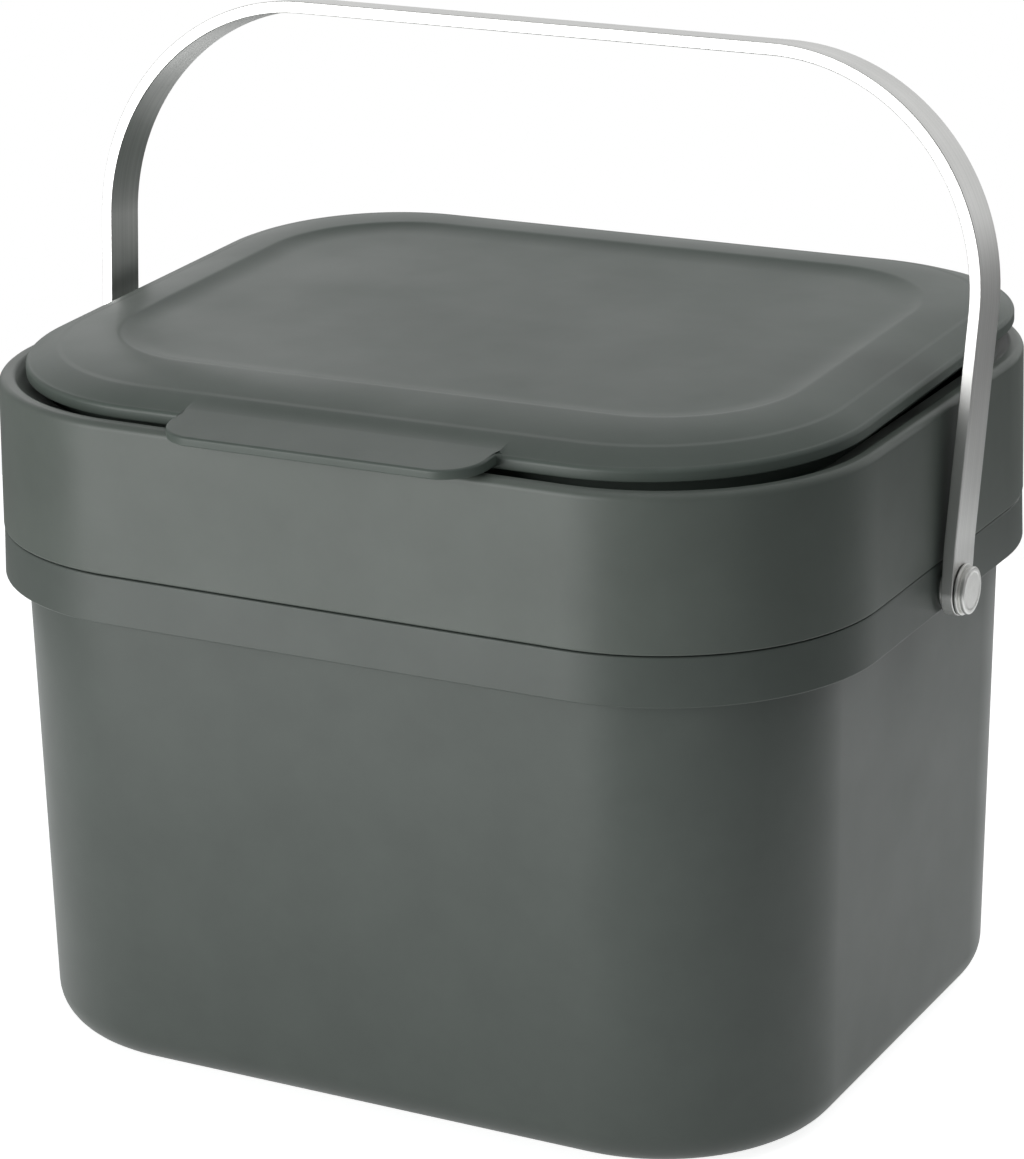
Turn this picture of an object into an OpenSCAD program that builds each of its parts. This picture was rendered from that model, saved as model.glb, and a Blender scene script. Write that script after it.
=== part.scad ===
// Kitchen compost caddy: a tapered bucket with a carrying band, a lift-off rim ring that hides
// the edge of a bag, a hinged lid with a thumb tab, and a flat metal strip bail handle.
// Front is -Y, +Z is up, and the origin lies on the table under the middle of the caddy.

/* [Bucket] */
// Width of the bucket at its base, left to right
base_w = 227.8; // [200:0.2:240]
// Depth of the bucket at its base, front to back
base_d = 190.4; // [170:0.2:200]
// Radius of the bucket's upright corners at the base
base_r = 49; // [35:1:60]
// Draft angle of the bucket's walls, in degrees
draft = 0.8; // [0.3:0.1:1]
// Thickness of the bucket's walls
wall = 2; // [1.4:0.1:3]
// Thickness of the bucket's floor
floor_t = 2.5; // [1.6:0.1:4]
// Radius of the rounding between the base and the walls
bottom_r = 10; // [6:0.5:16]
// Width of the foot that the bucket stands on
foot_w = 7; // [4:0.5:12]
// Height of the hollow inside the foot
foot_h = 1.2; // [0.5:0.1:2]

/* [Carrying band] */
// Height of the band's lower edge above the table
band_z = 128; // [100:0.5:150]
// Height of the band
band_h = 13; // [12:0.1:18]
// Distance that the band's top edge stands out from the bucket's side walls
band_side = 7.31; // [6.5:0.01:9]
// Distance that the band's top edge stands out from the bucket's front and back walls
band_front = 5.81; // [5.2:0.01:9]
// Draft angle of the band, which widens downwards, in degrees
band_draft = 1.9; // [0.5:0.1:2.5]
// Radius of the band's corners
band_r = 58.3; // [48:0.1:66]
// Thickness of the band's skirt and of its top web
band_t = 2.2; // [1.6:0.1:2.6]
// Height of the bucket's neck above the band
neck_h = 30; // [18:0.5:31]

/* [Rim ring] */
// Gap of the seam between the band and the ring
seam = 0.3; // [0.3:0.1:0.6]
// Height of the ring
ring_h = 40.3; // [40:0.1:50]
// Step from the ring's foot in to the band's top edge
ring_step = 0.2; // [0:0.1:0.4]
// Draft angle of the ring, which narrows upwards, in degrees
ring_draft = 1.1; // [0.3:0.1:1.5]
// Wall thickness of the ring
ring_t = 2.2; // [1.6:0.1:2.5]
// Radius of the ring's top outer edge
ring_edge_r = 3; // [2.6:0.1:4]
// Distance from the ring's outer face in to its mouth
shoulder_w = 12.5; // [12:0.5:15]
// Drop of the dished shoulder from the ring's crest to its mouth
shoulder_drop = 3.6; // [3:0.1:5]
// Length of the lip that hangs down round the mouth
lip_h = 9; // [5:0.5:12]

/* [Lid] */
// Distance of the lid's sides in from the ring's outer face
lid_in_side = 4.6; // [3:0.1:6]
// Distance of the lid's front edge in from the ring's outer face
lid_in_front = 7; // [5:0.1:9]
// Distance of the lid's back edge in from the ring's outer face
lid_in_back = 4.2; // [3.6:0.1:6]
// Radius of the lid's front corners
lid_front_r = 56; // [45:0.5:62]
// Radius of the lid's back corners
lid_back_r = 47; // [42:0.5:56]
// Thickness of the lid's sheet
lid_t = 2.2; // [1.6:0.1:2.6]
// Height of the lid's turned-down edge
edge_h = 3; // [2.8:0.1:3.4]
// Width of the lid's turned-down edge
edge_w = 2; // [1.5:0.1:3]
// Radius of the edge's top rounding
edge_r = 2; // [1:0.1:2.4]
// Height of the lid's edge over the ring's crest, at the front
front_rise = 3.3; // [3.1:0.1:4.5]
// Height of the lid's edge over the ring's crest, at the back
back_rise = 8.4; // [7.8:0.1:9.6]
// Height of the crest round the panel above the lid's edge
crest_rise = 4; // [2:0.1:6]
// Depth of the recessed panel below the crest
recess_drop = 1.3; // [0.8:0.1:3]
// Width of the soft slope round the recessed panel
slope_w = 10; // [6:0.5:14]
// Distance from the lid's front edge to the crest
recess_front = 26.7; // [22:0.1:36]
// Distance from the lid's back edge to the crest
recess_back = 22.2; // [18:0.1:30]
// Distance from the lid's sides to the crest
recess_side = 23.2; // [18:0.1:30]
// Radius of the crest's corners
recess_r = 36; // [22:1:38]
// Gap between the locating rim under the lid and the ring's mouth
rim_gap = 1.4; // [1:0.1:2]
// Thickness of the locating rim
rim_t = 1.6; // [1.2:0.1:2]
// Depth of the locating rim below the lid's edge
rim_h = 12; // [9:0.5:14]

/* [Thumb tab] */
// Width of the tab
tab_w = 89; // [60:1:100]
// Reach of the tab beyond the lid's front edge
tab_reach = 16; // [12:0.5:20]
// Thickness of the tab
tab_t = 2.4; // [1.8:0.1:2.6]
// Radius of the tab's corners
tab_r = 11; // [5:0.5:11.5]

/* [Lid hinge] */
// Distance of each hinge from the middle
hinge_x = 48; // [30:1:56]
// Radius of the knuckles and the ears
knuckle_r = 4; // [3:0.1:4.4]
// Width of the lid's knuckle
knuckle_w = 14; // [8:0.5:18]
// Thickness of each ear on the ring
ear_t = 5; // [3:0.5:7]
// Diameter of the hinge pin
pin_d = 3; // [2:0.1:3.6]
// Gap between a knuckle and the ring's back wall
knuckle_gap = 0.9; // [0.5:0.1:1.5]
// Height of the hinge axis below the ring's crest
axis_drop = 0.5; // [0:0.1:2]
// Height of the ears' gusset on the ring's wall
gusset_h = 13; // [8:0.5:18]
// Gap at each side of a knuckle
side_gap = 0.4; // [0.3:0.05:0.8]

/* [Handle] */
// Width of the handle's strip
strip_w = 13.8; // [10:0.2:16]
// Thickness of the handle's strip
strip_t = 3.2; // [2:0.1:4]
// Height of the grip's outer face above the pivots
grip_h = 134.8; // [128:0.1:150]
// Outer radius of the handle's two bends
bend_r = 61; // [50:0.5:70]
// Angle by which the arms spread above their eyes, in degrees
flare = 2.2; // [0:0.1:3]
// Length of the straight stretch above each pivot
eye_h = 12; // [8:0.5:16]
// Angle by which the raised handle leans back, in degrees
lean = 7.3; // [0:0.1:12]
// Height of the pivots above the band's lower edge
pivot_up = 5.6; // [5.4:0.1:6.5]

/* [Rivets] */
// Diameter of the rivets' shanks
shank_d = 5; // [4:0.1:6]
// Diameter of the rivets' heads
head_d = 12.4; // [9:0.2:13]
// Height of the rivets' heads
head_h = 1.8; // [1.4:0.1:2.4]
// Step from the rim of the rivets' heads in to their waists
head_step = 0.5; // [0.2:0.1:1]
// Diameter of the washer under each head
washer_d = 13.4; // [12.4:0.2:13.8]
// Thickness of the washer under each head
washer_t = 0.8; // [0.5:0.1:1.2]
// Diameter of the spacer between the strip and the band
spacer_d = 10.6; // [9:0.2:10.8]
// Thickness of the spacer between the strip and the band
spacer_t = 0.8; // [0.6:0.1:2]
// Diameter of the boss behind the band that holds the rivet
boss_d = 10.6; // [9:0.2:10.8]
// Height of the boss's flat seat over the band's face at the pivot
seat_h = 0.3; // [0.25:0.05:0.6]

/* [Fits] */
// Radial clearance of a pin or rivet in its bore
pin_fit = 0.05; // [0.03:0.01:0.1]
// Gap at each face of the handle's eyes
eye_gap = 0.3; // [0.3:0.05:0.5]

/* [Smoothness] */
// Facets in each upright corner
corner_n = 12; // [8:1:14]

/* [Hidden] */
$fn = 64;

plastic_c = [0.40, 0.42, 0.40];
lid_c = [0.44, 0.45, 0.44];
metal_c = [0.78, 0.78, 0.76];
steel_c = [0.66, 0.66, 0.64];

// Outline half sizes shared by the pieces, at the band's top edge and at the ring's crest
band_a = wall_a(band_z) + band_side;
band_b = wall_b(band_z) + band_front;
ring_in = ring_h * tan(ring_draft) - ring_step;
ring_a = band_a - ring_in;
ring_b = band_b - ring_in;
ring_r = band_r - ring_in;
band_top = band_z + band_h;
ring_z = band_top + seam;
ring_top = ring_z + ring_h;
neck_top = band_top + neck_h;
mouth_a = ring_a - shoulder_w;
mouth_b = ring_b - shoulder_w;
mouth_r = ring_r - shoulder_w;

// Lid outline: half width, half depth, middle and the slope of its top from front to back
lid_a = ring_a - lid_in_side;
lid_front_y = -ring_b + lid_in_front;
lid_back_y = ring_b - lid_in_back;
lid_b = (lid_back_y - lid_front_y) / 2;
lid_cy = (lid_back_y + lid_front_y) / 2;
lid_tilt = asin((back_rise - front_rise) / (2 * lid_b));
lid_z = ring_top + (front_rise + back_rise) / 2;

// Crest round the recessed panel
rec_a = lid_a - recess_side;
rec_b = lid_b - (recess_front + recess_back) / 2;
rec_cy = (recess_front - recess_back) / 2;

// Hinge axis
axis_y = ring_b + knuckle_gap + knuckle_r;
axis_z = ring_top - axis_drop;
station_w = knuckle_w + 2 * side_gap + 2 * ear_t;

// Handle stack, outwards from the boss's seat on the band
pivot_z = band_z + pivot_up;
seat_x = band_a + (band_top - pivot_z) * tan(band_draft) + seat_h;
strip_in = seat_x + spacer_t + eye_gap;
strip_out = strip_in + strip_t;
washer_in = strip_out + eye_gap;
head_in = washer_in + washer_t;
eye_r = strip_w / 2;
bend_z = grip_h - bend_r;
touch_z = bend_z - bend_r * sin(flare);
touch_x = strip_out + (touch_z - eye_h) * tan(flare);
bend_x = touch_x - bend_r * cos(flare);
bore_end = wall_a(pivot_z) - wall / 2;

// Half sizes of the bucket's outer face at a height
function wall_a(z) = base_w / 2 + z * tan(draft);
function wall_b(z) = base_d / 2 + z * tan(draft);

// One level of a loft: a rounded rectangle of half sizes a and b, with its middle at y = cy.
// The front corners have the radius r, and the back ones rb.
function level(a, b, r, z, cy = 0, rb = 0) =
    let (back = rb > 0 ? rb : r, n = corner_n)
    [for (k = [0:3], i = [0:n])
        let (q = k < 2 ? back : r, t = 90 * k + 90 * i / n,
             sx = k == 0 || k == 3 ? 1 : -1, sy = k < 2 ? 1 : -1)
        [sx * (a - q) + q * cos(t), cy + sy * (b - q) + q * sin(t), z]];

// The bucket's outline at height z, moved in by d
function wall_level(z, d = 0) =
    level(wall_a(z) - d, wall_b(z) - d, base_r - d, z);
// The band's and the ring's outlines at height z, moved in by d
function band_level(z, d) =
    let (e = (band_top - z) * tan(band_draft) - d) level(band_a + e, band_b + e, band_r + e, z);
function ring_level(z, d) =
    let (e = (ring_top - z) * tan(ring_draft) - d) level(ring_a + e, ring_b + e, ring_r + e, z);
// The lid's outline and the crest's outline, moved in by d, in the lid's own plane
function lid_level(z, d) =
    level(lid_a - d, lid_b - d, lid_front_r - d, z, 0, lid_back_r - d);
function rec_level(z, d) = level(rec_a - d, rec_b - d, recess_r - d, z, rec_cy);
// The locating rim's outline, moved in by d, in the lid's own plane
function rim_level(z, d) =
    level(mouth_a - rim_gap - d, mouth_b - rim_gap - d, mouth_r - rim_gap - d, z, -lid_cy);

// Height of the lid's border at the share s of the way from its edge to the crest
function border_z(s) = crest_rise * (1 - pow(1 - s, 2));
// The border's line at that share of the way, lowered by down
function border_level(s, down = 0) =
    let (p = lid_level(0, edge_r), q = rec_level(0, 0))
    [for (i = [0:len(p) - 1])
        [p[i][0] * (1 - s) + q[i][0] * s, p[i][1] * (1 - s) + q[i][1] * s, border_z(s) - down]];
// The line where the locating rim, moved in by d, meets the underside of the border
function root_level(d) =
    let (o = lid_level(0, edge_r), c = rec_level(0, 0), p = rim_level(0, d))
    [for (i = [0:len(p) - 1])
        [p[i][0], p[i][1], border_z(norm(p[i] - o[i]) / norm(c[i] - o[i])) - lid_t]];

// Point where a line from p touches the circle of radius r about c, on side s
function touch(p, c, r, s) =
    let (v = p - c, t = atan2(v[1], v[0]) + s * acos(r / norm(v)))
    c + r * [cos(t), sin(t)];

// Solid through a list of levels, closed at both ends, or joined end to start for a ring
module loft(levels, ring = false) {
    n = len(levels[0]);
    m = len(levels);
    last = ring ? m - 1 : m - 2;
    sides = [for (j = [0:last], i = [0:n - 1], half = [0, 1])
        let (u = (j + 1) % m, w = (i + 1) % n)
        half == 0 ? [j * n + i, u * n + i, u * n + w] : [j * n + i, u * n + w, j * n + w]];
    caps = ring ? [] : [[for (i = [0:n - 1]) i], [for (i = [n - 1:-1:0]) (m - 1) * n + i]];
    polyhedron(points = [for (l = levels) each l], faces = concat(sides, caps), convexity = 8);
}

// Solid cylinder along X from x = x0 to x = x1
module x_rod(x0, x1, r) {
    translate([x0, 0, 0]) rotate([0, 90, 0]) cylinder(r = r, h = x1 - x0);
}

// Outline in the Y-Z plane, drawn out along X over the width w about the middle
module x_plate(w) {
    translate([-w / 2, 0, 0]) rotate([90, 0, 90]) linear_extrude(w) children();
}

// Bucket with its foot, band and neck, as one moulded wall
module bucket_shell() {
    round_n = 5;
    in_r = max(bottom_r - wall, 2);
    lead = 0.6;
    foot_d = bottom_r + foot_w;
    loft(concat(
        [wall_level(foot_h, foot_d + foot_h), wall_level(0, foot_d)],
        [for (i = [0:round_n]) let (t = 90 * i / round_n)
            wall_level(bottom_r * (1 - cos(t)), bottom_r * (1 - sin(t)))],
        [wall_level(band_top - band_t),
         band_level(band_top - band_t, band_t),
         band_level(band_z, band_t),
         band_level(band_z, lead / 2),
         band_level(band_z + lead / 2, 0),
         band_level(band_top - lead / 2, 0),
         band_level(band_top, lead / 2),
         wall_level(band_top),
         wall_level(neck_top - lead),
         wall_level(neck_top, lead),
         wall_level(neck_top, wall - lead),
         wall_level(neck_top - lead, wall)],
        [for (i = [0:round_n]) let (t = 90 * i / round_n)
            wall_level(floor_t + foot_h + in_r * (1 - sin(t)), wall + in_r * (1 - cos(t)))]
    ), false);
}

module bucket() {
    color(plastic_c) difference() {
        union() {
            bucket_shell();
            for (s = [0, 1]) mirror([s, 0, 0]) translate([0, 0, pivot_z])
                x_rod(wall_a(pivot_z) - wall / 2, seat_x, boss_d / 2);
        }
        for (s = [0, 1]) mirror([s, 0, 0]) translate([0, 0, pivot_z])
            x_rod(bore_end, seat_x + 1, shank_d / 2 + pin_fit);
    }
}

// Ring wall with a rounded crest, a dished shoulder and a lip that hangs round the mouth
module ring_shell() {
    round_n = 4;
    lead = 0.6;
    lip_out = shoulder_w - ring_t;
    lip_z = ring_top - shoulder_drop;
    mid = (ring_edge_r + shoulder_w) / 2;
    loft(concat(
        [ring_level(ring_z, ring_t), ring_level(ring_z, lead),
         ring_level(ring_z + lead, 0)],
        [for (i = [0:round_n]) let (t = 90 * i / round_n)
            ring_level(ring_top - ring_edge_r * (1 - sin(t)), ring_edge_r * (1 - cos(t)))],
        [ring_level(ring_top - shoulder_drop * 0.65, mid - 1),
         ring_level(lip_z, shoulder_w - 1.4),
         ring_level(lip_z - 0.5, shoulder_w - 0.4),
         ring_level(lip_z - 1.4, shoulder_w),
         ring_level(lip_z - lip_h, shoulder_w),
         ring_level(lip_z - lip_h - lead, shoulder_w - lead),
         ring_level(lip_z - lip_h, lip_out),
         ring_level(lip_z - ring_t - 0.8, lip_out),
         ring_level(lip_z - ring_t, lip_out - 0.8),
         ring_level(ring_top - shoulder_drop * 0.65 - ring_t, mid - 1),
         ring_level(ring_top - ring_t, ring_edge_r),
         ring_level(ring_top - ring_edge_r, ring_t)]
    ), true);
}

// Ear on the ring's back wall, with a gusset below and a fair top
module ear() {
    c = [axis_y, axis_z];
    root = ring_b - ring_t / 2;
    low = [root, axis_z - gusset_h];
    high = [root, ring_top - ring_edge_r];
    x_plate(ear_t) {
        translate(c) circle(r = knuckle_r);
        polygon([low, touch(low, c, knuckle_r, 1), c, touch(high, c, knuckle_r, -1), high]);
    }
}

module rim_ring() {
    color(plastic_c) difference() {
        union() {
            ring_shell();
            for (s = [-1, 1], e = [-1, 1])
                translate([s * hinge_x + e * (knuckle_w / 2 + side_gap + ear_t / 2), 0, 0]) ear();
        }
        for (s = [-1, 1]) translate([s * hinge_x, axis_y, axis_z])
            x_rod(-station_w / 2 - 1, station_w / 2 + 1, pin_d / 2 + pin_fit);
    }
}

// Lid sheet with its turned-down edge, a border that curves up to a crest, a panel recessed
// below the crest, and a locating rim. The top of the edge is at z = 0.
module lid_shell() {
    edge_n = 4;
    border_n = 4;
    soft_n = 4;
    soft = [for (i = [0:soft_n]) let (u = i / soft_n)
        [slope_w * u, crest_rise - recess_drop * (1 - pow(1 - u, 2))]];
    loft(concat(
        [for (k = [soft_n:-1:0]) rec_level(soft[k][1] - lid_t, soft[k][0])],
        [border_level(0.7, lid_t), root_level(rim_t), rim_level(-rim_h + 0.4, rim_t),
         rim_level(-rim_h, rim_t - 0.4), rim_level(-rim_h, 0.4),
         rim_level(-rim_h + 0.4, 0), root_level(0),
         lid_level(-lid_t, edge_w + 0.4), lid_level(-edge_h, edge_w),
         lid_level(-edge_h, 0.3), lid_level(-edge_h + 0.3, 0)],
        [for (i = [0:edge_n]) let (t = 90 * i / edge_n)
            lid_level(-edge_r * (1 - sin(t)), edge_r * (1 - cos(t)))],
        [for (i = [1:border_n - 1]) border_level(i / border_n)],
        [for (k = [0:soft_n]) rec_level(soft[k][1], soft[k][0])]
    ), false);
}

// Flat thumb tab that carries the lid's edge on to the front, top at z = 0
module tab() {
    half = tab_w / 2;
    root = 4;
    translate([0, -lid_b, -tab_t]) linear_extrude(tab_t) {
        translate([-half, tab_r - tab_reach]) square([tab_w, tab_reach - tab_r + root]);
        translate([-half + tab_r, -tab_reach]) square([tab_w - 2 * tab_r, tab_reach]);
        for (s = [-1, 1]) translate([s * (half - tab_r), tab_r - tab_reach]) circle(r = tab_r);
    }
}

// Strap from the lid's back edge, over the ring's crest, to the knuckle on the hinge pin
module strap() {
    c = [axis_y, axis_z];
    root = lid_back_y - edge_w;
    top = [root, ring_top + back_rise - 0.5];
    under = [root, ring_top + back_rise - edge_h + 0.3];
    x_plate(knuckle_w) {
        translate(c) circle(r = knuckle_r);
        polygon([top, under, touch(under, c, knuckle_r, 1), c, touch(top, c, knuckle_r, -1)]);
    }
}

module lid() {
    color(lid_c) difference() {
        union() {
            translate([0, lid_cy, lid_z]) rotate([lid_tilt, 0, 0]) {
                lid_shell();
                tab();
            }
            for (s = [-1, 1]) translate([s * hinge_x, 0, 0]) strap();
        }
        for (s = [-1, 1]) translate([s * hinge_x, axis_y, axis_z])
            x_rod(-knuckle_w / 2 - 1, knuckle_w / 2 + 1, pin_d / 2 + pin_fit);
    }
}

module hinge_pin(s) {
    color(steel_c) translate([s * hinge_x, axis_y, axis_z])
        x_rod(-station_w / 2, station_w / 2, pin_d / 2);
}
module hinge_pin_left() { hinge_pin(-1); }
module hinge_pin_right() { hinge_pin(1); }

// Right half of the handle's edge-on outline: arm, bend and half of the grip. The bend laps
// over its neighbours by a millimetre, where it departs from them by under 0.01 mm.
module half_strip() {
    lap = 1;
    polygon([[strip_in, 0], [strip_out, 0], [strip_out, eye_h], [touch_x, touch_z],
             [touch_x - strip_t * cos(flare), touch_z + strip_t * sin(flare)],
             [strip_in, eye_h + strip_t * tan(flare / 2)]]);
    translate([bend_x, bend_z]) intersection() {
        difference() {
            circle(r = bend_r, $fn = 180);
            circle(r = bend_r - strip_t, $fn = 180);
        }
        polygon([[-lap, 0], 2 * bend_r * [cos(flare + lap), -sin(flare + lap)],
                 [2 * bend_r, 2 * bend_r], [-lap, 2 * bend_r]]);
    }
    translate([0, grip_h - strip_t]) square([bend_x, strip_t]);
}

module handle() {
    color(metal_c) translate([0, 0, pivot_z]) rotate([-lean, 0, 0]) difference() {
        union() {
            translate([0, eye_r, 0]) rotate([90, 0, 0]) linear_extrude(strip_w) {
                half_strip();
                mirror([1, 0]) half_strip();
            }
            for (s = [0, 1]) mirror([s, 0, 0]) x_rod(strip_in, strip_out, eye_r);
        }
        for (s = [0, 1]) mirror([s, 0, 0])
            x_rod(strip_in - 1, strip_out + 1, shank_d / 2 + pin_fit);
    }
}

// Rivet along +X: a flat head with a stepped waist, on a plain shank that ends in the boss
module rivet() {
    r = head_d / 2;
    top = head_in + head_h;
    lead = 0.25;
    color(steel_c) translate([0, 0, pivot_z]) rotate([0, 90, 0]) rotate_extrude()
        polygon([[0, bore_end + 0.2], [shank_d / 2, bore_end + 0.2], [shank_d / 2, head_in],
                 [r - head_step, head_in], [r - head_step, head_in + head_h * 0.35],
                 [r, head_in + head_h * 0.35], [r, top - lead], [r - lead, top], [0, top]]);
}
module rivet_left() { mirror([1, 0, 0]) rivet(); }
module rivet_right() { rivet(); }

// Flat ring round the rivet, from x = x0 over the thickness t
module collar(x0, t, d) {
    color(steel_c) translate([0, 0, pivot_z]) difference() {
        x_rod(x0, x0 + t, d / 2);
        x_rod(x0 - 1, x0 + t + 1, shank_d / 2 + pin_fit);
    }
}
module washer_left() { mirror([1, 0, 0]) collar(washer_in, washer_t, washer_d); }
module washer_right() { collar(washer_in, washer_t, washer_d); }
module spacer_left() { mirror([1, 0, 0]) collar(seat_x, spacer_t, spacer_d); }
module spacer_right() { collar(seat_x, spacer_t, spacer_d); }

bucket();
rim_ring();
lid();
hinge_pin_left();
hinge_pin_right();
handle();
rivet_left();
rivet_right();
washer_left();
washer_right();
spacer_left();
spacer_right();
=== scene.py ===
"""Looks of the kitchen compost caddy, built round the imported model.

Sizes are in millimetres, as in the part's source, and go into Blender in metres.
Front is -Y, +Z is up, and the origin lies on the table under the middle of the caddy.
"""

import math

import bmesh
import bpy
from mathutils import Matrix, Vector


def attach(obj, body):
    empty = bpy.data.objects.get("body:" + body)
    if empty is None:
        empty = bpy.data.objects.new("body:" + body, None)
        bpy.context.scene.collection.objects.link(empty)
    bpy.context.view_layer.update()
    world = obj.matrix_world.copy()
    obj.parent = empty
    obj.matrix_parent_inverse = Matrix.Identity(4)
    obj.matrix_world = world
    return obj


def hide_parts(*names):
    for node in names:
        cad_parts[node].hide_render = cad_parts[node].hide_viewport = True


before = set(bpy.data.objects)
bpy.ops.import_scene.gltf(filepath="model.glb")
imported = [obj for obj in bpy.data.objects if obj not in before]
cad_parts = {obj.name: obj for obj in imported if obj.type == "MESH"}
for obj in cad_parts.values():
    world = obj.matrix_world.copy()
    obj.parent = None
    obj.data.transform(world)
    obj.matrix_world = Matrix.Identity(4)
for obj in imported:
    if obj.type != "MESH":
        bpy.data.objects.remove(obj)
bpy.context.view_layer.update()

MM = 0.001
CORNER = 28  # facets in each upright corner

# Bucket, carrying band and rim ring
WALL_A, WALL_B, WALL_R, WALL = 113.9, 95.2, 49.0, 2.0  # half width, half depth, corner, wall
DRAFT = math.tan(math.radians(0.8))
FLOOR_Z = 3.7
BAND_Z, BAND_TOP, BAND_T = 128.0, 141.0, 2.2
BAND_A, BAND_B, BAND_R = 122.9973, 102.7973, 58.3
BAND_DRAFT = math.tan(math.radians(1.9))
NECK_TOP = 171.0
RING_A, RING_B, RING_R = 122.4235, 102.2235, 57.7262
RING_Z, RING_TOP, RING_T = 141.3, 181.6, 2.2
RING_DRAFT = math.tan(math.radians(1.1))

# Lid, in its own tilted plane
LID_A, LID_B = 117.8235, 96.6235
LID_FRONT_R, LID_BACK_R = 56.0, 47.0
LID_CY, LID_Z, LID_TILT, LID_ASKEW = 1.4, 187.45, 1.51227, 0.45
LID_T, EDGE_H, EDGE_W, EDGE_R = 2.2, 3.5, 2.0, 1.2
REC_A, REC_B, REC_R, REC_CY = 97.0, 71.5, 36.0, 2.7
CREST_RISE, BORDER_W = 4.1, 24.0
# Slope of the border at some distances from its edge; the dip makes a faint crease
BORDER_SLOPES = ((0, 0.44), (7, 0.27), (7.5, 0.10), (8.5, 0.10), (9, 0.20), (24, 0))
RECESS_DROP, SLOPE_W, SLOPE_POWER = 1.3, 9.0, 2.4
RIM_A, RIM_B, RIM_R, RIM_T, RIM_H = 108.5235, 88.3235, 43.8262, 1.6, 12.0
TAB_HALF, TAB_REACH, TAB_T, TAB_R, TAB_ROOT = 44.5, 16.0, 2.4, 11.0, 0.9
TAB_SLOPE, TAB_BLEND = 0.05, 0.7

# Lid hinge
HINGE_X, KNUCKLE_R, KNUCKLE_W, EAR_T, SIDE_GAP = 48.0, 4.0, 14.0, 5.0, 0.4
AXIS_Y, AXIS_Z = 107.1235, 181.1
PIN_R, PIN_FIT = 1.5, 0.05
STRAP_TOP, STRAP_FOOT = 189.5, 187.3
EAR_TOP, EAR_FOOT = 178.6, 168.1

# Handle and its rivets
PIVOT_Z, LEAN = 133.6, 7.3
STRIP_W, STRIP_T, FLARE = 13.8, 3.2, math.radians(2.2)
SEAT_X, STRIP_IN, STRIP_OUT = 123.5428, 124.6428, 127.8428
EYE_H, GRIP_H, BEND_R = 12.0, 134.8, 61.0
SHANK_R, HEAD_R, HEAD_H = 2.5, 6.2, 1.8
WASHER_IN, WASHER_T, WASHER_R = 128.1428, 0.8, 6.7
HEAD_IN = 128.9428
SPACER_T, SPACER_R, BOSS_R = 0.8, 5.3, 5.3

# Table, in metres, and the levels at which the table and the room are seen
TABLE_HALF = 0.4
TABLE_WHITE, TABLE_GLOSS = 0.85, 0.55
AIR, ROOM, BACKDROP, BELOW = 0.14, 0.28, 0.8, 0.18


# ---------------------------------------------------------------- mesh helpers

def shade(obj, sharp=28.0):
    """Soft shading between the crisp edges of obj."""
    obj.data.shade_smooth()
    obj.data.set_sharp_from_angle(angle=math.radians(sharp))
    weighted = obj.modifiers.new("even_shading", "WEIGHTED_NORMAL")
    weighted.keep_sharp = True
    weighted.weight = 100


def finish_mesh(name, bm, sharp=28.0):
    """The bmesh, in millimetres, as a new object with soft shading between its crisp edges."""
    bmesh.ops.remove_doubles(bm, verts=bm.verts, dist=0.004)
    bmesh.ops.dissolve_degenerate(bm, edges=bm.edges, dist=0.001)
    bmesh.ops.recalc_face_normals(bm, faces=bm.faces)
    bmesh.ops.scale(bm, vec=(MM, MM, MM), verts=bm.verts)
    mesh = bpy.data.meshes.new(name)
    bm.to_mesh(mesh)
    bm.free()
    obj = bpy.data.objects.new(name, mesh)
    bpy.context.scene.collection.objects.link(obj)
    shade(obj, sharp)
    return obj


def loft(name, levels, loop=False, sharp=28.0):
    """A closed piece through a list of levels of points, or one that joins end to start."""
    bm = bmesh.new()
    rows = [[bm.verts.new(p) for p in level] for level in levels]
    count = len(rows[0])
    pairs = list(zip(rows, rows[1:])) + ([(rows[-1], rows[0])] if loop else [])
    for low, high in pairs:
        for i in range(count):
            j = (i + 1) % count
            bm.faces.new((low[i], low[j], high[j], high[i]))
    if not loop:
        bm.faces.new(list(reversed(rows[0])))
        bm.faces.new(rows[-1])
    return finish_mesh(name, bm, sharp)


def soften(points, loop=False, step=15.0):
    """A profile of (u, v, radius) corners, each rounded off with an arc of its radius."""
    out = []
    n = len(points)
    for i, (x, y, r) in enumerate(points):
        if r <= 0 or (not loop and i in (0, n - 1)):
            out.append((x, y))
            continue
        p = Vector((x, y))
        before = Vector(points[i - 1][:2]) - p
        after = Vector(points[(i + 1) % n][:2]) - p
        half = before.angle(after) / 2
        reach = min(r / math.tan(half), 0.49 * before.length, 0.49 * after.length)
        r = reach * math.tan(half)
        turn = math.pi - 2 * half
        if turn < math.radians(2):
            out.append((x, y))
            continue
        u, w = before.normalized(), after.normalized()
        centre = p + (u + w).normalized() * (r / math.sin(half))
        start = p + u * reach - centre
        side = 1 if start.x * (p - centre).y - start.y * (p - centre).x > 0 else -1
        steps = max(2, math.ceil(math.degrees(turn) / step))
        for k in range(steps + 1):
            t = side * turn * k / steps
            out.append((centre.x + start.x * math.cos(t) - start.y * math.sin(t),
                        centre.y + start.x * math.sin(t) + start.y * math.cos(t)))
    return out


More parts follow.
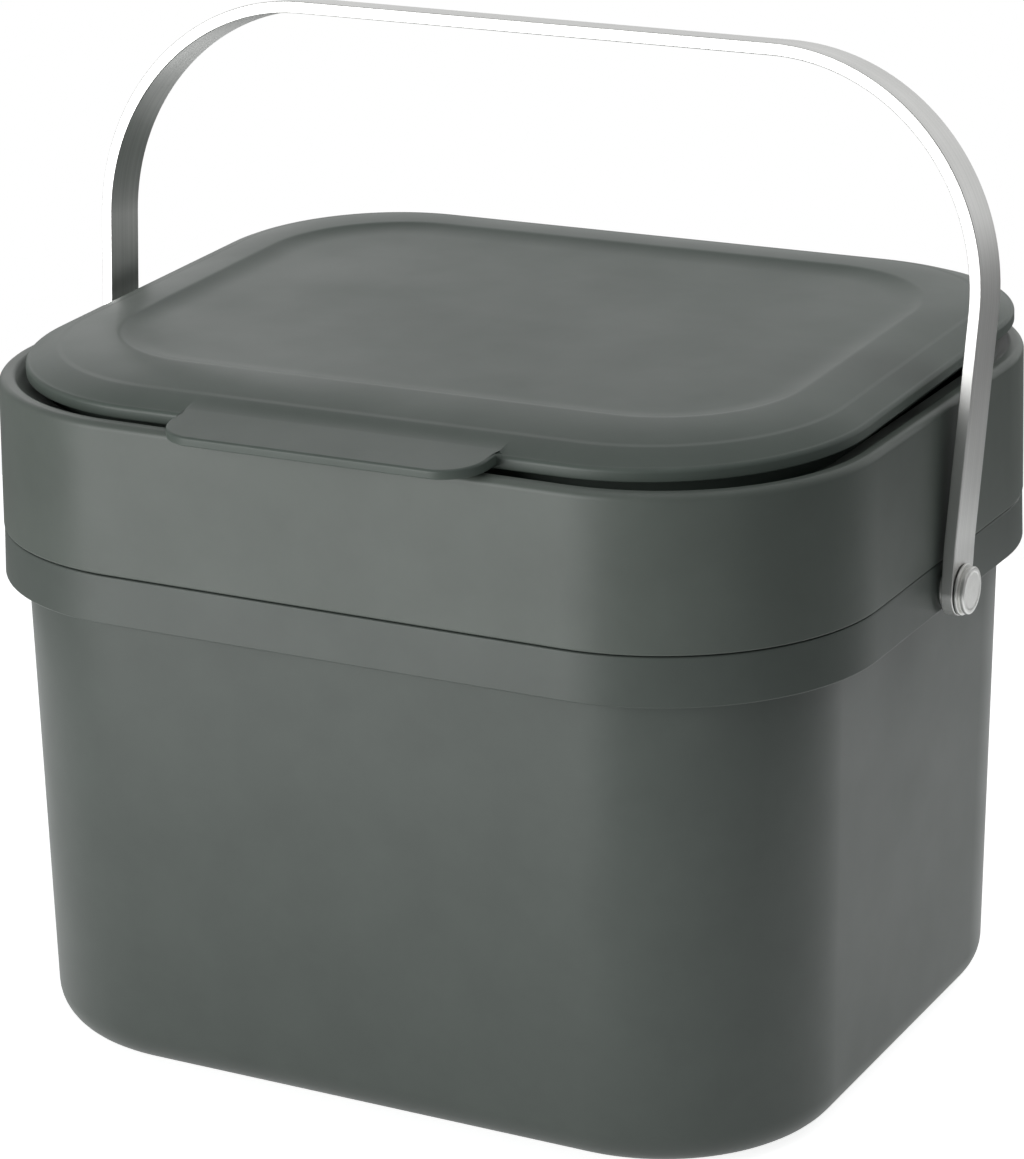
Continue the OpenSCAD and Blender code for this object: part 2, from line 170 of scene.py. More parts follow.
def tab_line(edge_y, inset, tab_inset):
    """The lid's front line from left to right, out round the thumb tab and back."""
    line = []
    for i in range(9):
        t = math.radians(90 - 90 * i / 8)
        r = TAB_ROOT + inset + (tab_inset - inset) * i / 8
        line.append((-TAB_HALF - TAB_ROOT + r * math.cos(t),
                     edge_y - TAB_ROOT + r * math.sin(t)))
    for i in range(17):
        t = math.radians(180 + 90 * i / 16)
        line.append((-TAB_HALF + TAB_R + (TAB_R - tab_inset) * math.cos(t),
                     edge_y - TAB_REACH + TAB_R + (TAB_R - tab_inset) * math.sin(t)))
    return line + [(-x, y) for x, y in reversed(line)]


# How far each point of the lid's outline belongs to the tab, from 0 on its edge to 1
TAB_SHARES = [i / 8 for i in range(9)] + [1.0] * 34 + [1 - i / 8 for i in range(9)]
TAB_START = 3 * (CORNER + 1)


def outline(a, b, front_r, back_r=None, cy=0.0, tab=None):
    """A rounded rectangle of half sizes a and b, counterclockwise from the right side's back end.

    With tab = (edge_y, inset, tab_inset) its front line goes out round the thumb tab, and with
    tab = "line" it has as many points there, all on the straight front line."""
    back_r = front_r if back_r is None else back_r
    points = []
    for k in range(4):
        r = back_r if k < 2 else front_r
        sx, sy = (1 if k in (0, 3) else -1), (1 if k < 2 else -1)
        for i in range(CORNER + 1):
            t = math.radians(90 * (k + i / CORNER))
            points.append((sx * (a - r) + r * math.cos(t), cy + sy * (b - r) + r * math.sin(t)))
        if k == 2 and tab is not None:
            if tab == "line":
                points += [(x, cy - b) for x, _ in tab_line(0, 0, 0)]
            else:
                points += tab_line(*tab)
    return points


def at(points, z):
    return [(x, y, z) for x, y in points]


def wall(z, d=0.0):
    """The bucket's outline at height z, moved in by d."""
    e = z * DRAFT - d
    return at(outline(WALL_A + e, WALL_B + e, WALL_R - d), z)


def band(z, d=0.0):
    e = (BAND_TOP - z) * BAND_DRAFT - d
    return at(outline(BAND_A + e, BAND_B + e, BAND_R + e), z)


def ring(z, d=0.0):
    e = (RING_TOP - z) * RING_DRAFT - d
    return at(outline(RING_A + e, RING_B + e, RING_R + e), z)


def arc(cx, cy, r, start, end, steps):
    """Points on a circle from one angle to another, in degrees."""
    angles = [math.radians(start + (end - start) * i / steps) for i in range(steps + 1)]
    return [(cx + r * math.cos(t), cy + r * math.sin(t)) for t in angles]


def lathe(name, profile, loop=False, segments=72):
    """A turned piece from (x, radius) points along the X axis, through the handle's pivots."""
    levels = []
    for x, r in profile:
        levels.append([(x, r * math.sin(2 * math.pi * i / segments),
                        r * math.cos(2 * math.pi * i / segments)) for i in range(segments)])
    return loft(name, levels, loop)


def cut_bore(obj, y, z, r, x0, x1):
    """Bores obj along X, in millimetres of its own frame, and keeps the result as its mesh."""
    bm = bmesh.new()
    ends = [[bm.verts.new((x, y + r * math.cos(2 * math.pi * i / 48),
                           z + r * math.sin(2 * math.pi * i / 48))) for i in range(48)]
            for x in (x0, x1)]
    for i in range(48):
        j = (i + 1) % 48
        bm.faces.new((ends[0][i], ends[0][j], ends[1][j], ends[1][i]))
    bm.faces.new(ends[0])
    bm.faces.new(ends[1])
    cutter = finish_mesh("cutter", bm)
    cutter.modifiers.clear()
    obj.modifiers.clear()
    cut = obj.modifiers.new("bore", "BOOLEAN")
    cut.object, cut.operation, cut.solver = cutter, "DIFFERENCE", "EXACT"
    bpy.context.view_layer.update()
    graph = bpy.context.evaluated_depsgraph_get()
    done = bpy.data.meshes.new_from_object(obj.evaluated_get(graph))
    obj.modifiers.clear()
    obj.data = done
    bpy.data.objects.remove(cutter)
    shade(obj)
    return obj


def plate(name, profile, x0, x1, bevel=0.5):
    """A (y, z) outline drawn out along X from x0 to x1, with its end edges rounded."""
    bm = bmesh.new()
    ends = [[bm.verts.new((x, y, z)) for y, z in profile] for x in (x0, x1)]
    count = len(profile)
    for i in range(count):
        j = (i + 1) % count
        bm.faces.new((ends[0][i], ends[0][j], ends[1][j], ends[1][i]))
    bm.faces.new(ends[0])
    bm.faces.new(ends[1])
    bmesh.ops.recalc_face_normals(bm, faces=bm.faces)
    crisp = [e for e in bm.edges if len(e.link_faces) == 2
             and e.calc_face_angle(0) > math.radians(28)]
    bmesh.ops.bevel(bm, geom=crisp, offset=bevel, segments=3, affect="EDGES", profile=0.5)
    return finish_mesh(name, bm)


# -------------------------------------------------------------------- the pieces

def make_bucket():
    """Bucket wall with its foot, rounded lower edge, hollow band, neck and inside."""
    def blend(z, d_wall, z_band, d_band, share):
        low, high = wall(z, d_wall), band(z_band, d_band)
        return [tuple(p + (q - p) * share for p, q in zip(u, w)) for u, w in zip(low, high)]

    levels = [wall(1.2, 18.6), wall(1.05, 18.1), wall(0.2, 17.2), wall(0, 16.8), wall(0, 10.0)]
    levels += [wall(10 - 10 * math.cos(t), 10 - 10 * math.sin(t))
               for t in (math.radians(7.5 * i) for i in range(1, 13))]
    levels += [wall(136.6), wall(137.8, -0.3), wall(138.5, -1.0), wall(138.8, -2.0)]
    levels += [band(138.8, 2.8), band(138.4, 2.3), band(137.8, BAND_T)]
    levels += [band(BAND_Z + 0.4, BAND_T), band(BAND_Z + 0.1, BAND_T - 0.12)]
    levels += [band(BAND_Z, BAND_T - 0.4)]
    levels += [band(BAND_Z + 0.4 - 0.4 * math.sin(t), 0.4 - 0.4 * math.cos(t))
               for t in (math.radians(90 - 18 * i) for i in range(6))]
    levels += [band(BAND_TOP - 0.5 + 0.5 * math.sin(t), 0.5 - 0.5 * math.cos(t))
               for t in (math.radians(18 * i) for i in range(6))]
    levels += [wall(BAND_TOP, -1.0), wall(BAND_TOP + 0.3, -0.3), wall(BAND_TOP + 1.0)]
    levels += [wall(NECK_TOP - 0.9 + 0.9 * math.sin(t), 0.9 - 0.9 * math.cos(t))
               for t in (math.radians(18 * i) for i in range(6))]
    levels += [wall(NECK_TOP - 0.9 + 0.9 * math.cos(t), WALL - 0.9 + 0.9 * math.sin(t))
               for t in (math.radians(18 * i) for i in range(6))]
    levels += [wall(FLOOR_Z + 8 - 8 * math.sin(t), WALL + 8 - 8 * math.cos(t))
               for t in (math.radians(9 * i) for i in range(11))]
    return loft("bucket_shell", levels)


def make_ring():
    """Ring wall with its rounded crest, dished shoulder and the lip round the mouth."""
    profile = soften([
        (RING_T, RING_Z, 0.3), (0, RING_Z, 0.5), (0, RING_TOP, 3.0), (3.9, 181.6, 1.6),
        (6.75, 179.3, 4.0), (11.6, 177.9, 1.2), (12.5, 177.2, 1.0), (12.5, 168.4, 0.6),
        (10.3, 168.4, 0.6), (10.3, 175.7, 1.2), (6.75, 177.05, 3.0), (3.2, 179.3, 1.5),
        (RING_T, 178.6, 0.6)], loop=True)
    return loft("ring_shell", [ring(z, d) for d, z in profile], loop=True)


def slope_sum(d):
    """Rise of the border's slopes over the distance d from its edge."""
    total = 0.0
    for (d0, m0), (d1, m1) in zip(BORDER_SLOPES, BORDER_SLOPES[1:]):
        if d > d0:
            end = min(d, d1)
            mid = m0 + (m1 - m0) * ((d0 + end) / 2 - d0) / (d1 - d0)
            total += mid * (end - d0)
    return total


def border_z(share):
    """Height of the lid's border, at a share of the way from its edge to the crest."""
    return CREST_RISE * slope_sum(BORDER_W * share) / slope_sum(BORDER_W)


def crest_z(d):
    """Height of the lid's top at the distance d inwards from the crest, with a soft ridge."""
    def plain(u):
        if u < 0:
            return border_z(1 + u / BORDER_W)
        return CREST_RISE - RECESS_DROP * (1 - (1 - min(u / SLOPE_W, 1)) ** SLOPE_POWER)
    return sum(plain(d + 0.15 * k) for k in range(-4, 5)) / 9


def make_lid():
    """Lid sheet, in its own plane: a turned-down edge, a border that curves up to a crest, a
    panel recessed a little below the crest, the locating rim, and the thumb tab, which leaves
    the border in a soft hollow and slopes down gently to its tip."""
    def rec(z, d):
        return at(outline(REC_A - d, REC_B - d, REC_R - d, cy=REC_CY, tab="line"), z)

    def rim(z, d):
        return at(outline(RIM_A - d, RIM_B - d, RIM_R - d, cy=-LID_CY, tab="line"), z)

    def tab_plane(y):
        return (y + LID_B + TAB_REACH) * TAB_SLOPE

    def move_tab(level, height):
        """The level with its tab points at their heights, which fade out at the tab's ends."""
        for i, share in enumerate(TAB_SHARES, TAB_START):
            x, y, z = level[i]
            level[i] = (x, y, z + (height(y, z) - z) * share)
        return level

    def sheet(z, d, tab_z=None, tab_d=0.0, flat=False):
        """The lid's outline, without the tab, or with it at its own inset and at the height
        tab_z, counted from the lid's plane if it is flat and from the tab's plane if not."""
        tab = "line" if tab_z is None else (-LID_B, d, tab_d)
        level = at(outline(LID_A - d, LID_B - d, LID_FRONT_R - d, LID_BACK_R - d, tab=tab), z)
        if tab_z is None:
            return level
        return move_tab(level, lambda y, _: tab_z + (0 if flat else tab_plane(y)))

    def over_tab(y, z):
        """Height of the border or of the tab's plane, whichever is higher, in a soft hollow."""
        above = tab_plane(y) - z
        return z + max(above, 0) + max(TAB_BLEND - abs(above), 0) ** 2 / TAB_BLEND / 4

    edge, crest = sheet(0, EDGE_R), rec(0, 0)

    def border(share, down=0.0, tab=False):
        level = [(p[0] + (q[0] - p[0]) * share, p[1] + (q[1] - p[1]) * share,
                  border_z(share) - down) for p, q in zip(edge, crest)]
        return move_tab(level, over_tab) if tab else level

    def root(d, down=0.0):
        """Where the locating rim, moved in by d, meets the underside of the border."""
        return [(r[0], r[1], border_z(math.dist(p[:2], r[:2]) / math.dist(p[:2], q[:2]))
                 - LID_T - down) for p, q, r in zip(edge, crest, rim(0, d))]

    slope = [-1.2, -0.8, -0.4, 0, 0.4, 0.8, 1.2, 1.8] + [2.4 + 7.2 * i / 12 for i in range(13)]
    levels = [rec(crest_z(d) - LID_T, d) for d in reversed(slope)]
    levels += [border(0.7, LID_T), root(RIM_T + 0.5), root(RIM_T, 0.5)]
    levels += [rim(-RIM_H + 0.6 - 0.6 * math.sin(t), RIM_T - 0.6 + 0.6 * math.cos(t))
               for t in (math.radians(22.5 * i) for i in range(5))]
    levels += [rim(-RIM_H + 0.6 - 0.6 * math.cos(t), 0.6 - 0.6 * math.sin(t))
               for t in (math.radians(22.5 * i) for i in range(5))]
    levels += [root(0, 0.5), root(-0.5)]
    levels += [sheet(-LID_T, EDGE_W + 0.4), sheet(-LID_T - 0.15, EDGE_W + 0.1)]
    levels += [sheet(-EDGE_H + 0.15, EDGE_W), sheet(-EDGE_H, EDGE_W - 0.15)]
    levels += [sheet(-EDGE_H + 0.4 - 0.4 * math.cos(t), 0.4 - 0.4 * math.sin(t))
               for t in (math.radians(22.5 * i) for i in range(5))]
    levels += [sheet(-TAB_T, 0)]
    levels += [sheet(-TAB_T, 0, -TAB_T + 0.4 - 0.4 * math.cos(t), 0.4 - 0.4 * math.sin(t), True)
               for t in (math.radians(22.5 * i) for i in range(5))]
    levels += [sheet(-EDGE_R + EDGE_R * math.sin(t), EDGE_R - EDGE_R * math.cos(t),
                     -0.7 + 0.7 * math.sin(t), 0.7 - 0.7 * math.cos(t))
               for t in (math.radians(11.25 * i) for i in range(9))]
    levels += [border(d / BORDER_W, tab=True)
               for d in (0, 0.5, 1, 2, 3, 4, 5, 6, 6.6, 7, 7.3, 7.6, 8, 8.4, 8.7, 9, 9.5, 10.5, 12,
                         14, 16, 18, 20, 21.5)]
    levels += [rec(crest_z(d), d) for d in slope]
    lid = loft("lid_sheet", levels)
    lid.data.transform(Matrix.Translation((0, LID_CY * MM, LID_Z * MM))
                       @ Matrix.Rotation(math.radians(-LID_ASKEW), 4, "Y")
                       @ Matrix.Rotation(math.radians(LID_TILT), 4, "X"))
    return lid


def tangent(p, centre, r, side):
    """Point where a line from p touches the circle of radius r round the centre."""
    v = Vector(p) - Vector(centre)
    t = math.atan2(v.y, v.x) + side * math.acos(r / v.length)
    return (centre[0] + r * math.cos(t), centre[1] + r * math.sin(t)), math.degrees(t)


def knuckle_outline(high, low):
    """A (y, z) outline from high round the knuckle and back to low, on the hinge's -Y side."""
    centre = (AXIS_Y, AXIS_Z)
    top, t0 = tangent(high, centre, KNUCKLE_R, -1)
    bottom, t1 = tangent(low, centre, KNUCKLE_R, 1)
    if t1 > t0:
        t1 -= 360
    return [high] + arc(*centre, KNUCKLE_R, t0, t1, 24) + [low]


def make_hinges():
    """The lid's two straps, and the two ears that stand on the ring at each of them."""
    pieces = {"lid_body": [], "rim_body": []}
    back = LID_CY + LID_B - EDGE_W
    for side, s in (("left", -1), ("right", 1)):
        x = s * HINGE_X
        strap = plate(f"hinge_strap_{side}",
                      knuckle_outline((back, STRAP_TOP), (back, STRAP_FOOT)),
                      x - KNUCKLE_W / 2, x + KNUCKLE_W / 2)
        pieces["lid_body"].append(
            cut_bore(strap, AXIS_Y, AXIS_Z, PIN_R + PIN_FIT, x - 20, x + 20))
        for end, e in (("inner", -s), ("outer", s)):
            middle = x + e * (KNUCKLE_W / 2 + SIDE_GAP + EAR_T / 2)
            root = RING_B - RING_T / 2
            ear = plate(f"hinge_ear_{side}_{end}",
                        knuckle_outline((root, EAR_TOP), (root, EAR_FOOT)),
                        middle - EAR_T / 2, middle + EAR_T / 2)
            pieces["rim_body"].append(
                cut_bore(ear, AXIS_Y, AXIS_Z, PIN_R + PIN_FIT, x - 20, x + 20))
    return pieces


def make_pin(side, s):
    """Hinge pin with a small lead at each end."""
    half = KNUCKLE_W / 2 + SIDE_GAP + EAR_T
    x0, x1 = s * HINGE_X - half, s * HINGE_X + half
    pin = lathe(f"pin_{side}", [(x0, PIN_R - 0.3), (x0 + 0.08, PIN_R - 0.12), (x0 + 0.3, PIN_R),
                                (x1 - 0.3, PIN_R), (x1 - 0.08, PIN_R - 0.12), (x1, PIN_R - 0.3)],
                segments=48)
    pin.location = (0, AXIS_Y * MM, AXIS_Z * MM)
    return pin


def handle_path():
    """Centre line of the right half of the strip, as ((x, z), outward normal), from the eye up."""
    half = STRIP_T / 2
    bend_z = GRIP_H - BEND_R
    touch_z = bend_z - BEND_R * math.sin(FLARE)
    touch_x = STRIP_OUT + (touch_z - EYE_H) * math.tan(FLARE)
    bend_x = touch_x - BEND_R * math.cos(FLARE)
    path = [((STRIP_OUT - half, z), 0.0) for z in (0, 3, 6, 9)]
    # The arm leaves its eye over a soft bend
    for i in range(5):
        t = -FLARE * i / 4
        z = EYE_H - 2 + 4 * i / 4
        lift = (z - EYE_H + 2) ** 2 / 8 * math.tan(FLARE)
        path.append(((STRIP_OUT - half + lift, z), t))
    for share in (0.25, 0.5, 0.75):
        z = EYE_H + 2 + (touch_z - EYE_H - 2) * share
        path.append(((STRIP_OUT + (z - EYE_H) * math.tan(FLARE) - half * math.cos(FLARE),
                      z + half * math.sin(FLARE)), -FLARE))
    steps = 40
    for i in range(steps + 1):
        t = -FLARE + (math.pi / 2 + FLARE) * i / steps
        path.append(((bend_x + (BEND_R - half) * math.cos(t),
                      bend_z + (BEND_R - half) * math.sin(t)), t))
    path.append(((bend_x * 0.5, GRIP_H - half), math.pi / 2))
    return path


def strip_section(x, z, angle, width):
    """The strip's section at (x, z): width along Y, thickness along the normal, soft edges."""
    r = min(0.28, width * 0.45)
    a, b = STRIP_T / 2 - r, width / 2 - r
    nx, nz = math.cos(angle), math.sin(angle)
    points = []
    for k, (sa, sb) in enumerate(((1, 1), (-1, 1), (-1, -1), (1, -1))):
        for i in range(5):
            t = math.radians(90 * k + 22.5 * i)
            n, y = sa * a + r * math.cos(t), sb * b + r * math.sin(t)
            points.append((x + n * nx, y, z + n * nz))
    return points


def make_handle():
    """Flat strip swept from eye to eye, standing at its own lean on the pivots."""
    eye = []
    for i in range(16):
        t = math.radians(87 * (1 - i / 16))
        eye.append((STRIP_OUT - STRIP_T / 2, -STRIP_W / 2 * math.sin(t), 0.0,
                    STRIP_W * math.cos(t)))
    half = eye + [(x, z, t, STRIP_W) for (x, z), t in handle_path()]
    other = [(-x, z, math.pi - t, w) for x, z, t, w in reversed(half)]
    levels = [strip_section(x, z, t, w) for x, z, t, w in half + other]
    strip = loft("handle_strip", levels)
    for s in (-1, 1):
        cut_bore(strip, 0, 0, SHANK_R + PIN_FIT, s * STRIP_IN - s, s * STRIP_OUT + s)
    strip.matrix_world = (Matrix.Translation((0, 0, PIVOT_Z * MM))
                          @ Matrix.Rotation(math.radians(-LEAN), 4, "X"))
    return strip


def make_rivet(side, s):
    """Flat-headed rivet with a waist under its rim, on a plain shank."""
    top = HEAD_IN + HEAD_H
    profile = soften([
        (116.0, 0.01, 0), (116.0, SHANK_R, 0.3), (HEAD_IN, SHANK_R, 0),
        (HEAD_IN, HEAD_R - 0.5, 0.1), (HEAD_IN + 0.63, HEAD_R - 0.5, 0.1),
        (HEAD_IN + 0.63, HEAD_R, 0.22), (top, HEAD_R, 0.4), (top, HEAD_R - 1.1, 0.5),
        (top - 0.1, HEAD_R - 1.5, 0.5), (top - 0.1, 0.01, 0)], step=22)
    return turned(lathe(f"rivet_head_{side}", profile), s)


def turned(obj, s):
    """Puts a turned piece on the handle's pivot line, at the right or, mirrored, at the left."""
    if s < 0:
        obj.data.transform(Matrix.Rotation(math.pi, 4, "Z"))
    obj.location = (0, 0, PIVOT_Z * MM)
    return obj


def make_collar(name, s, x0, thick, r):
    """Flat turned ring round the rivet's shank, with its edges broken."""
    inner = SHANK_R + PIN_FIT
    profile = soften([(x0, inner, 0.1), (x0 + thick, inner, 0.1), (x0 + thick, r, 0.22),
                      (x0, r, 0.22)], loop=True, step=30)
    return turned(lathe(name, profile, loop=True), s)


def make_boss(side, s):
    """Moulded boss that holds the rivet's shank and ends in a flat seat on the band's face."""
    bore = SHANK_R + PIN_FIT
    profile = soften([(114.8, bore, 0), (SEAT_X, bore, 0), (SEAT_X, BOSS_R, 0.15),
                      (114.8, BOSS_R, 0)], loop=True, step=30)
    return turned(lathe(f"band_boss_{side}", profile, loop=True), s)


# ------------------------------------------------------------------- materials

class Nodes:
    """A few short ways to add and join shader nodes in one material."""

    def __init__(self, name):
        self.material = bpy.data.materials.new(name)
        self.material.use_nodes = True
        self.tree = self.material.node_tree
        self.shader = self.tree.nodes["Principled BSDF"]

    def add(self, kind, **settings):
        node = self.tree.nodes.new(kind)
        for key, value in settings.items():
            if key in node.inputs:
                node.inputs[key].default_value = value
            else:
                setattr(node, key, value)
        return node

    def join(self, source, target):
        self.tree.links.new(source, target)

    def noise(self, coords, scale, detail=2.0, rough=0.5):
        node = self.add("ShaderNodeTexNoise", Scale=scale, Detail=detail, Roughness=rough)
        self.join(coords, node.inputs["Vector"])
        return node.outputs["Fac"]

    def ramp(self, value, low, high, at0=0.0, at1=1.0):
        """Value as a colour between low and high."""
        node = self.add("ShaderNodeValToRGB")
        first, last = node.color_ramp.elements
        first.position, last.position = at0, at1
        first.color, last.color = (*low, 1), (*high, 1)
        self.join(value, node.inputs["Fac"])
        return node.outputs["Color"]

    def spread(self, value, low, high, at0=0.3, at1=0.7):
        """Value, mapped from its usual reach to low..high."""
        node = self.add("ShaderNodeMapRange")
        for key, number in (("From Min", at0), ("From Max", at1), ("To Min", low),
                            ("To Max", high)):
            node.inputs[key].default_value = number
        self.join(value, node.inputs["Value"])
        return node.outputs["Result"]

    def bump(self, height, strength, distance, normal=None):
        node = self.add("ShaderNodeBump", Strength=strength, Distance=distance)
        self.join(height, node.inputs["Height"])
        if normal is not None:
            self.join(normal, node.inputs["Normal"])
        return node.outputs["Normal"]


def plastic(name, colour, rough):
    """Satin moulded polypropylene: fine mould grain, faint flow mottling, uneven sheen."""
    m = Nodes(name)
    coords = m.add("ShaderNodeTexCoord").outputs["Object"]
    mottle = m.noise(coords, 55, 4, 0.6)
    m.join(m.ramp(mottle, [c * 0.94 for c in colour], [c * 1.06 for c in colour], 0.3, 0.7),
           m.shader.inputs["Base Color"])
    sheen = m.noise(coords, 24, 3, 0.55)
    m.join(m.spread(sheen, rough - 0.035, rough + 0.035), m.shader.inputs["Roughness"])
    grain = m.noise(coords, 1500, 2, 0.6)
    flow = m.noise(coords, 30, 1, 0.4)
    normal = m.bump(flow, 0.25, 0.0004)
    m.join(m.bump(grain, 0.12, 0.00008, normal), m.shader.inputs["Normal"])
    m.shader.inputs["IOR"].default_value = 1.49
    return m.material


def strip_metal():
    """Satin drawn strip: grain along its length, a little waviness, fine handling marks."""
    m = Nodes("strip_metal")
    coords = m.add("ShaderNodeTexCoord").outputs["Object"]
    stretch = m.add("ShaderNodeMapping")
    stretch.inputs["Scale"].default_value = (6, 1500, 6)
    m.join(coords, stretch.inputs["Vector"])
    drawn = m.noise(stretch.outputs["Vector"], 1.0, 3, 0.6)
    cloud = m.noise(coords, 45, 3, 0.5)
    m.join(m.ramp(drawn, (0.69, 0.695, 0.68), (0.83, 0.83, 0.815), 0.25, 0.75),
           m.shader.inputs["Base Color"])
    m.join(m.spread(cloud, 0.34, 0.42), m.shader.inputs["Roughness"])
    wave = m.bump(cloud, 0.1, 0.0003)
    m.join(m.bump(drawn, 0.12, 0.00006, wave), m.shader.inputs["Normal"])
    m.shader.inputs["Metallic"].default_value = 1.0
    return m.material


def fastener_steel():
    """Turned steel: faint rings round the pivot line and light scuffs."""
    m = Nodes("fastener_steel")
    coords = m.add("ShaderNodeTexCoord").outputs["Object"]
    flat = m.add("ShaderNodeMapping")
    flat.inputs["Scale"].default_value = (0, 1, 1)
    m.join(coords, flat.inputs["Vector"])
    length = m.add("ShaderNodeVectorMath", operation="LENGTH")
    m.join(flat.outputs["Vector"], length.inputs[0])
    rings = m.add("ShaderNodeTexNoise", noise_dimensions="1D")
    rings.inputs["Scale"].default_value = 5200
    rings.inputs["Detail"].default_value = 2
    m.join(length.outputs["Value"], rings.inputs["W"])
    scuff = m.noise(coords, 420, 4, 0.65)
    m.join(m.ramp(scuff, (0.82, 0.82, 0.80), (0.92, 0.92, 0.90), 0.3, 0.7),
           m.shader.inputs["Base Color"])
    m.join(m.spread(scuff, 0.36, 0.46), m.shader.inputs["Roughness"])
    m.join(m.bump(rings.outputs["Fac"], 0.15, 0.00004), m.shader.inputs["Normal"])
    m.shader.inputs["Metallic"].default_value = 1.0
    return m.material


# ------------------------------------------------------------- putting it together

BUCKET = plastic("bucket_plastic", (0.102, 0.119, 0.107), 0.38)
RING = plastic("ring_plastic", (0.128, 0.147, 0.131), 0.38)
LID = plastic("lid_plastic", (0.105, 0.128, 0.112), 0.40)
METAL = strip_metal()
STEEL = fastener_steel()


def place(obj, body, slot, material, *nodes):
    obj.data.materials.clear()
    obj.data.materials.append(material)
    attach(obj, body)
    if nodes:
        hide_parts(*nodes)


place(make_bucket(), "bucket_body", "body_plastic", BUCKET, "bucket")
place(make_ring(), "rim_body", "body_plastic", RING, "rim_ring")
place(make_lid(), "lid_body", "lid_plastic", LID, "lid")
place(make_handle(), "handle_body", "strip_metal", METAL, "handle")
hinges = make_hinges()
for strap in hinges["lid_body"]:
    place(strap, "lid_body", "lid_plastic", LID)
for ear in hinges["rim_body"]:
    place(ear, "rim_body", "body_plastic", RING)
for side, s in (("left", -1), ("right", 1)):
    place(make_pin(side, s), "rim_body", "fastener_steel", STEEL, f"hinge_pin_{side}")
    place(make_boss(side, s), "bucket_body", "body_plastic", BUCKET)
    place(make_rivet(side, s), "bucket_body", "fastener_steel", STEEL, f"rivet_{side}")
    place(make_collar(f"head_washer_{side}", s, WASHER_IN, WASHER_T, WASHER_R),
          "bucket_body", "fastener_steel", STEEL, f"washer_{side}")
    place(make_collar(f"band_spacer_{side}", s, SEAT_X, SPACER_T, SPACER_R),
          "bucket_body", "fastener_steel", STEEL, f"spacer_{side}")


# ------------------------------------------------------------------ camera and light

def add_camera():
    """The photograph's viewpoint, fitted to the caddy's outline."""
    azimuth, elevation, roll = (math.radians(v) for v in (27.745, 18.885, -0.892))
    back = Vector((math.sin(azimuth) * math.cos(elevation),
                   -math.cos(azimuth) * math.cos(elevation), math.sin(elevation)))
    right = Vector((math.cos(azimuth), math.sin(azimuth), 0))
    up = back.cross(right)
    turned_right = right * math.cos(roll) + up * math.sin(roll)
    turned_up = up * math.cos(roll) - right * math.sin(roll)
    data = bpy.data.cameras.new("camera")
    data.sensor_width = 36
    data.lens = 128.796
    data.clip_start, data.clip_end = 0.05, 30
    camera = bpy.data.objects.new("camera", data)
    axes = Matrix((turned_right, turned_up, back)).transposed().to_4x4()
    camera.matrix_world = Matrix.Translation(Vector((492.122, -939.438, 480.485)) * MM) @ axes
    bpy.context.scene.collection.objects.link(camera)
    bpy.context.scene.camera = camera


def add_lamp(name, azimuth, elevation, distance, size, watts, in_gloss=True):
    """Soft square lamp that faces the caddy. Azimuth 0 is in front, 90 at the right."""
    a, e = math.radians(azimuth), math.radians(elevation)
    back = Vector((math.sin(a) * math.cos(e), -math.cos(a) * math.cos(e), math.sin(e)))
    data = bpy.data.lights.new(name, "AREA")
    data.shape, data.size, data.energy = "SQUARE", size, watts
    lamp = bpy.data.objects.new(name, data)
    lamp.location = Vector((0, 0, 0.12)) + back * distance
    lamp.rotation_mode = "QUATERNION"
    lamp.rotation_quaternion = (-back).to_track_quat("-Z", "Y")
    lamp.visible_camera = False
    lamp.visible_glossy = in_gloss
    bpy.context.scene.collection.objects.link(lamp)


def combine(tree, operation, first, second):
    node = tree.nodes.new("ShaderNodeMath")
    node.operation = operation
    tree.links.new(first, node.inputs[0])
    tree.links.new(second, node.inputs[1])
    return node.outputs[0]


def seen_rays(tree):
    """Two values: 1 for camera rays, and 1 for those of a gloss or of a clear material."""
    paths = tree.nodes.new("ShaderNodeLightPath").outputs
    return (paths["Is Camera Ray"],
            combine(tree, "MAXIMUM", paths["Is Glossy Ray"], paths["Is Transmission Ray"]))


def add_floor():
    """Plain white table top that keeps the caddy's shadow."""
    bm = bmesh.new()
    bmesh.ops.create_grid(bm, x_segments=1, y_segments=1, size=TABLE_HALF)
    mesh = bpy.data.meshes.new("floor")
    bm.to_mesh(mesh)
    bm.free()
    floor = bpy.data.objects.new("floor", mesh)
    floor.location = (0, 0, -0.0002)
    bpy.context.scene.collection.objects.link(floor)
    m = Nodes("floor_white")
    m.tree.nodes.remove(m.shader)
    diffuse = m.add("ShaderNodeBsdfDiffuse", Color=(0.8, 0.8, 0.8, 1))
    camera, other = seen_rays(m.tree)
    lift = m.add("ShaderNodeMath", operation="MULTIPLY")
    m.join(other, lift.inputs[0])
    lift.inputs[1].default_value = TABLE_GLOSS
    view = m.add("ShaderNodeMath", operation="MULTIPLY_ADD")
    m.join(camera, view.inputs[0])
    view.inputs[1].default_value = TABLE_WHITE
    m.join(lift.outputs[0], view.inputs[2])
    white = m.add("ShaderNodeEmission", Color=(1, 1, 1, 1))
    m.join(view.outputs[0], white.inputs["Strength"])
    both = m.add("ShaderNodeAddShader")
    m.join(diffuse.outputs[0], both.inputs[0])
    m.join(white.outputs[0], both.inputs[1])
    m.join(both.outputs[0], m.tree.nodes["Material Output"].inputs["Surface"])
    mesh.materials.append(m.material)


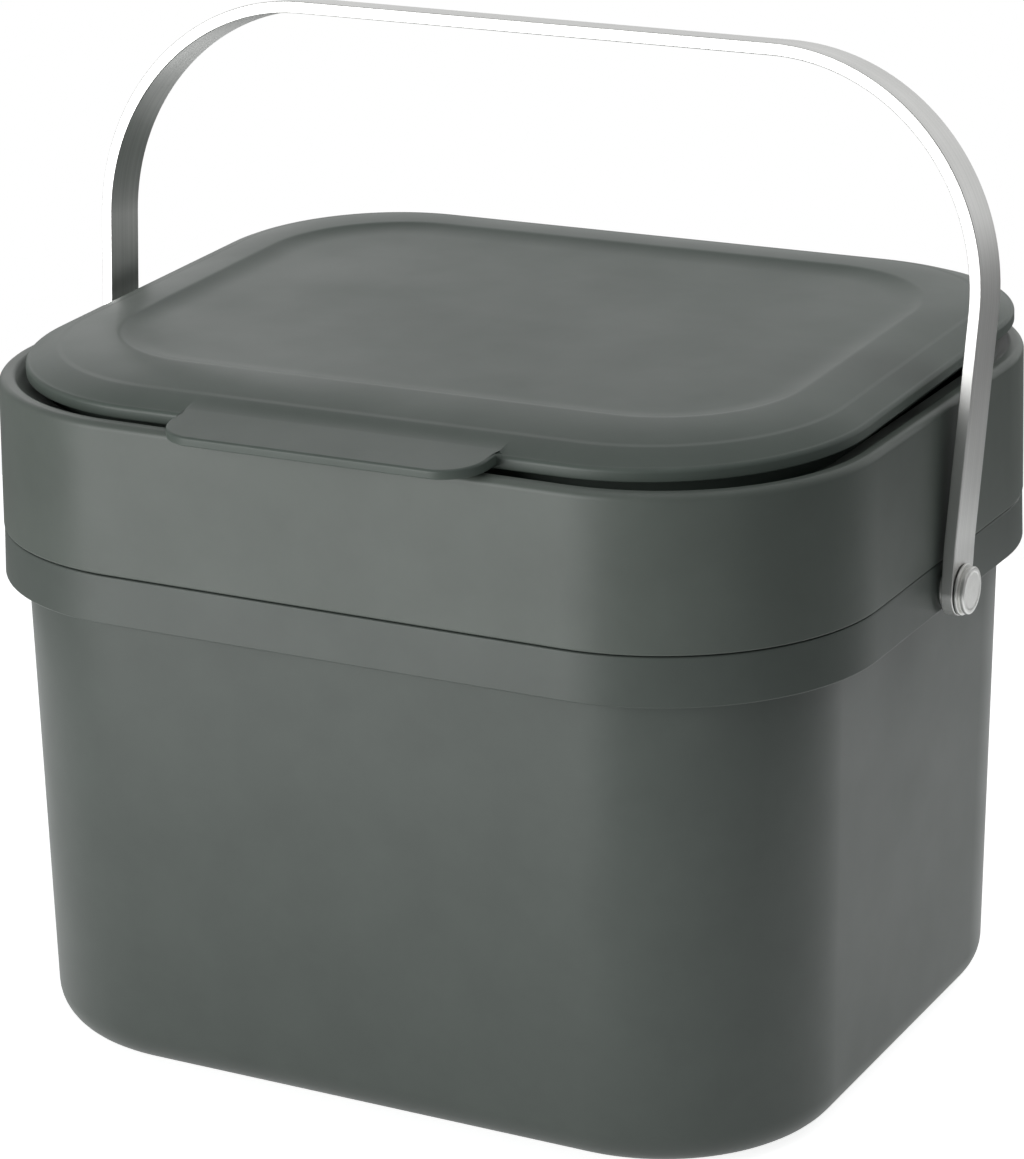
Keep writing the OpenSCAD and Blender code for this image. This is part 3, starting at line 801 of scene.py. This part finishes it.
def add_world():
    """Dim studio air, seen as a white backdrop. Glosses see the backdrop bright behind the
    caddy, and the rest of the room dimmer, most of all below the table's level."""
    world = bpy.data.worlds.new("studio")
    world.use_nodes = True
    bpy.context.scene.world = world
    tree = world.node_tree
    dim = tree.nodes["Background"]
    dim.inputs["Color"].default_value = (0.90, 0.99, 1.0, 1)
    dim.inputs["Strength"].default_value = AIR
    camera, other = seen_rays(tree)
    way = tree.nodes.new("ShaderNodeTexCoord")
    parts = tree.nodes.new("ShaderNodeSeparateXYZ")
    tree.links.new(way.outputs["Generated"], parts.inputs[0])

    def fade(source, start, end, low, high):
        node = tree.nodes.new("ShaderNodeMapRange")
        node.interpolation_type = "SMOOTHSTEP"
        for key, number in (("From Min", start), ("From Max", end), ("To Min", low),
                            ("To Max", high)):
            node.inputs[key].default_value = number
        tree.links.new(parts.outputs[source], node.inputs["Value"])
        return node

    backdrop = fade("Y", 0.45, 0.85, ROOM, BACKDROP)
    level = fade("Z", -0.16, 0.02, BELOW, 1)
    tree.links.new(backdrop.outputs["Result"], level.inputs["To Max"])
    gloss = combine(tree, "MULTIPLY", other, level.outputs["Result"])
    seen = combine(tree, "MAXIMUM", camera, gloss)
    mask = combine(tree, "MAXIMUM", camera, other)
    white = tree.nodes.new("ShaderNodeBackground")
    white.inputs["Color"].default_value = (1, 1, 1, 1)
    tree.links.new(seen, white.inputs["Strength"])
    mix = tree.nodes.new("ShaderNodeMixShader")
    tree.links.new(mask, mix.inputs[0])
    tree.links.new(dim.outputs[0], mix.inputs[1])
    tree.links.new(white.outputs[0], mix.inputs[2])
    tree.links.new(mix.outputs[0], tree.nodes["World Output"].inputs["Surface"])


add_camera()
add_lamp("key", -27, 4, 1.7, 1.3, 18.5)
add_lamp("overhead", 0, 88, 1.6, 1.4, 3)
add_lamp("back_right", 125, 45, 1.7, 0.9, 4.5, in_gloss=False)
add_lamp("back_left", -130, 25, 1.7, 1.0, 1.4)
add_lamp("behind", 185, 12, 1.7, 1.2, 7, in_gloss=False)
add_floor()
add_world()
bpy.context.scene.view_settings.view_transform = "Standard"
